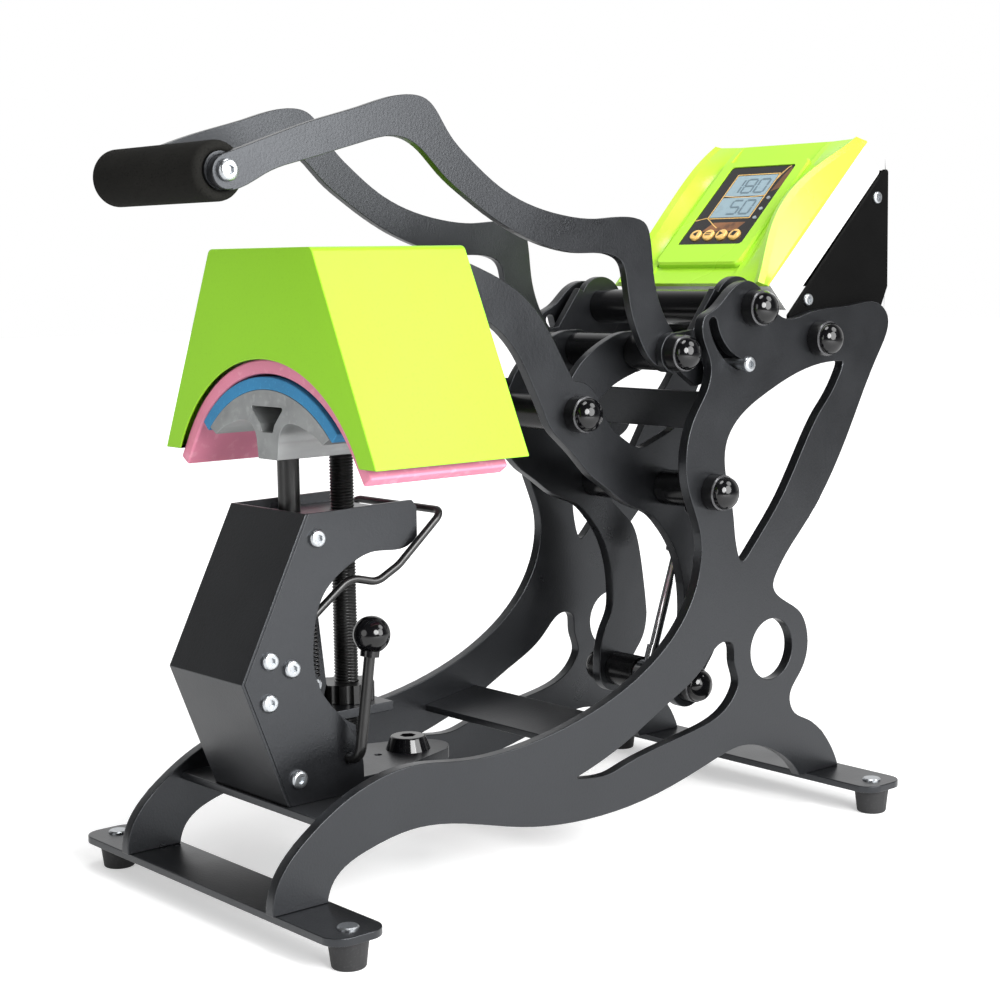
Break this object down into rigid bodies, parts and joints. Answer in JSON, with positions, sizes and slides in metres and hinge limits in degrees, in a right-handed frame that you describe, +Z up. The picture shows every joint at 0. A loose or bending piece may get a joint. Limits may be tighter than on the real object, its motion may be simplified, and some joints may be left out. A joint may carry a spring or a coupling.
{
  "type": "cap heat press",
  "caption": "Clamshell heat press for caps: curved heated platen on toggle lever arms over a padded cap stand, with gas spring and digital controller.",
  "frame": {"origin": "centre of the four rubber feet, on the floor", "axes": "+X to the operator's right across the frame, +Y from the front, where the handle grip is, to the rear, +Z up"},
  "size_m": [0.292, 0.5928, 0.5024],
  "materials": {
    "black_powder_coat": "fine texture powder coat",
    "gloss_black": "polished",
    "black_steel": "black oxide, satin",
    "bright_steel": "turned",
    "zinc_steel": "zinc plated",
    "chrome_rod": "polished",
    "green_shell": "semi-gloss powder coat",
    "green_plastic": "moulded, semi-gloss",
    "pink_silicone": "moulded silicone",
    "blue_silicone": "moulded silicone",
    "cast_aluminium": "extruded, brushed",
    "black_rubber": "moulded",
    "black_foam": "closed-cell foam",
    "black_plastic": "moulded",
    "white_enclosure": "satin powder coat",
    "panel_black": "printed overlay",
    "gold_key": "metallic overlay",
    "lamp_red": "lens",
    "circuit_board": "solder mask"
  },
  "bodies": {
    "root": {"side_frame_left": "black_powder_coat", "side_frame_right": "black_powder_coat", "cross_strap": "black_powder_coat", "rear_strap": "black_powder_coat", "base_plate": "black_powder_coat", "foot_bars": "black_powder_coat", "rubber_feet": "black_rubber", "foot_screws": "black_steel", "pivot_rods": "bright_steel", "frame_dome_nuts": "gloss_black", "frame_spacers": "black_steel", "stand_sides": "black_powder_coat", "stand_shield": "black_powder_coat", "stand_top_plate": "black_powder_coat", "stand_foot": "black_powder_coat", "stand_cradle": "black_powder_coat", "button_head_screws": "zinc_steel", "foot_clamp_screw": "black_steel", "bail_axle": "zinc_steel", "bail_springs": "zinc_steel", "controller_fascia": "green_plastic", "display_panel": "panel_black", "indicator_lamps": "lamp_red", "controller_case": "white_enclosure", "control_board": "circuit_board", "controller_bracket": "black_powder_coat", "power_inlet": "black_plastic"},
    "lever": {"handle_arms": "black_powder_coat", "crank_plates": "black_powder_coat", "handle_bar": "bright_steel", "foam_grip": "black_foam", "lever_screws": "zinc_steel", "toggle_rod": "bright_steel", "toggle_dome_nuts": "gloss_black", "lever_spacers": "black_steel"},
    "link": {"toggle_links": "black_powder_coat", "link_pins": "black_steel"},
    "arm": {"platen_arm_left": "black_powder_coat", "platen_arm_right": "black_powder_coat", "arm_dome_nuts": "gloss_black", "arm_rods": "bright_steel", "arm_spacers": "black_steel", "heater_cover": "green_shell", "heater_back": "bright_steel", "heating_mat": "pink_silicone"},
    "gas_piston": {"gas_piston": "chrome_rod"},
    "gas_cylinder": {"gas_cylinder": "gloss_black"},
    "platen_carriage": {"lower_platen": "cast_aluminium", "silicone_pad": "blue_silicone", "guide_rod": "black_steel", "height_screw": "black_steel"},
    "height_nut": {"height_nut": "black_steel"},
    "bail": {"wire_bail": "black_steel"},
    "knob_lever": {"knob_lever": "black_steel", "lever_knob": "gloss_black"},
    "button_1": {"button_1": "gold_key"},
    "button_2": {"button_2": "gold_key"},
    "button_3": {"button_3": "gold_key"},
    "button_4": {"button_4": "gold_key"},
    "power_switch": {"power_switch": "black_plastic"}
  },
  "joints": [
    {"name": "lever_swing", "type": "hinge", "parent": "root", "child": "lever", "pos_m": [0, 0.1555, 0.3662], "axis": [-1, 0, 0], "range_deg": [0, 56]},
    {"name": "link_swing", "type": "hinge", "parent": "lever", "child": "link", "pos_m": [0, 0.0945, 0.337], "axis": [1, 0, 0], "range_deg": [0, 91.54]},
    {"name": "arm_swing", "type": "hinge", "parent": "root", "child": "arm", "pos_m": [0, 0.1152, 0.2406], "axis": [-1, 0, 0], "range_deg": [0, 28.6]},
    {"name": "gas_swing", "type": "hinge", "parent": "arm", "child": "gas_piston", "pos_m": [0, 0.1369, 0.0955], "axis": [1, 0, 0], "range_deg": [0, 14.47]},
    {"name": "gas_stroke", "type": "slide", "parent": "gas_piston", "child": "gas_cylinder", "axis": [0, 0.3359, 0.9419], "range_m": [0, 0.02605]},
    {"name": "height_nut_turn", "type": "hinge", "parent": "root", "child": "height_nut", "pos_m": [0, -0.1372, 0.1264], "axis": [0, 0, 1], "range_deg": [-720.01, 0]},
    {"name": "platen_height", "type": "slide", "parent": "root", "child": "platen_carriage", "axis": [0, 0, 1], "range_m": [-0.004, 0]},
    {"name": "knob_lever_swing", "type": "hinge", "parent": "root", "child": "knob_lever", "pos_m": [0, -0.1662, 0.0944], "axis": [-1, 0, 0], "range_deg": [0, 30]},
    {"name": "bail_swing", "type": "hinge", "parent": "root", "child": "bail", "pos_m": [0, -0.2081, 0.1569], "axis": [-1, 0, 0], "range_deg": [0, 12]},
    {"name": "power_switch_rock", "type": "hinge", "parent": "root", "child": "power_switch", "pos_m": [0, 0.31, 0.406], "axis": [1, 0, 0], "range_deg": [-14, 0]},
    {"name": "button_1_press", "type": "slide", "parent": "root", "child": "button_1", "axis": [0, 0.6919, -0.722], "range_m": [0, 0.0005], "stiffness_N_per_m": 300},
    {"name": "button_2_press", "type": "slide", "parent": "root", "child": "button_2", "axis": [0, 0.6919, -0.722], "range_m": [0, 0.0005], "stiffness_N_per_m": 300},
    {"name": "button_3_press", "type": "slide", "parent": "root", "child": "button_3", "axis": [0, 0.6919, -0.722], "range_m": [0, 0.0005], "stiffness_N_per_m": 300},
    {"name": "button_4_press", "type": "slide", "parent": "root", "child": "button_4", "axis": [0, 0.6919, -0.722], "range_m": [0, 0.0005], "stiffness_N_per_m": 300}
  ],
  "couplings": [
    {"joint": "link_swing", "follows": "lever_swing", "ratio": 1.6347},
    {"joint": "arm_swing", "follows": "lever_swing", "ratio": 0.51064},
    {"joint": "gas_swing", "follows": "lever_swing", "ratio": 0.25838},
    {"joint": "gas_stroke", "follows": "lever_swing", "m_per_rad": 0.026654},
    {"joint": "height_nut_turn", "follows": "platen_height", "rad_per_m": 3141.6},
    {"joint": "bail_swing", "follows": "knob_lever_swing", "ratio": 0.4}
  ]
}
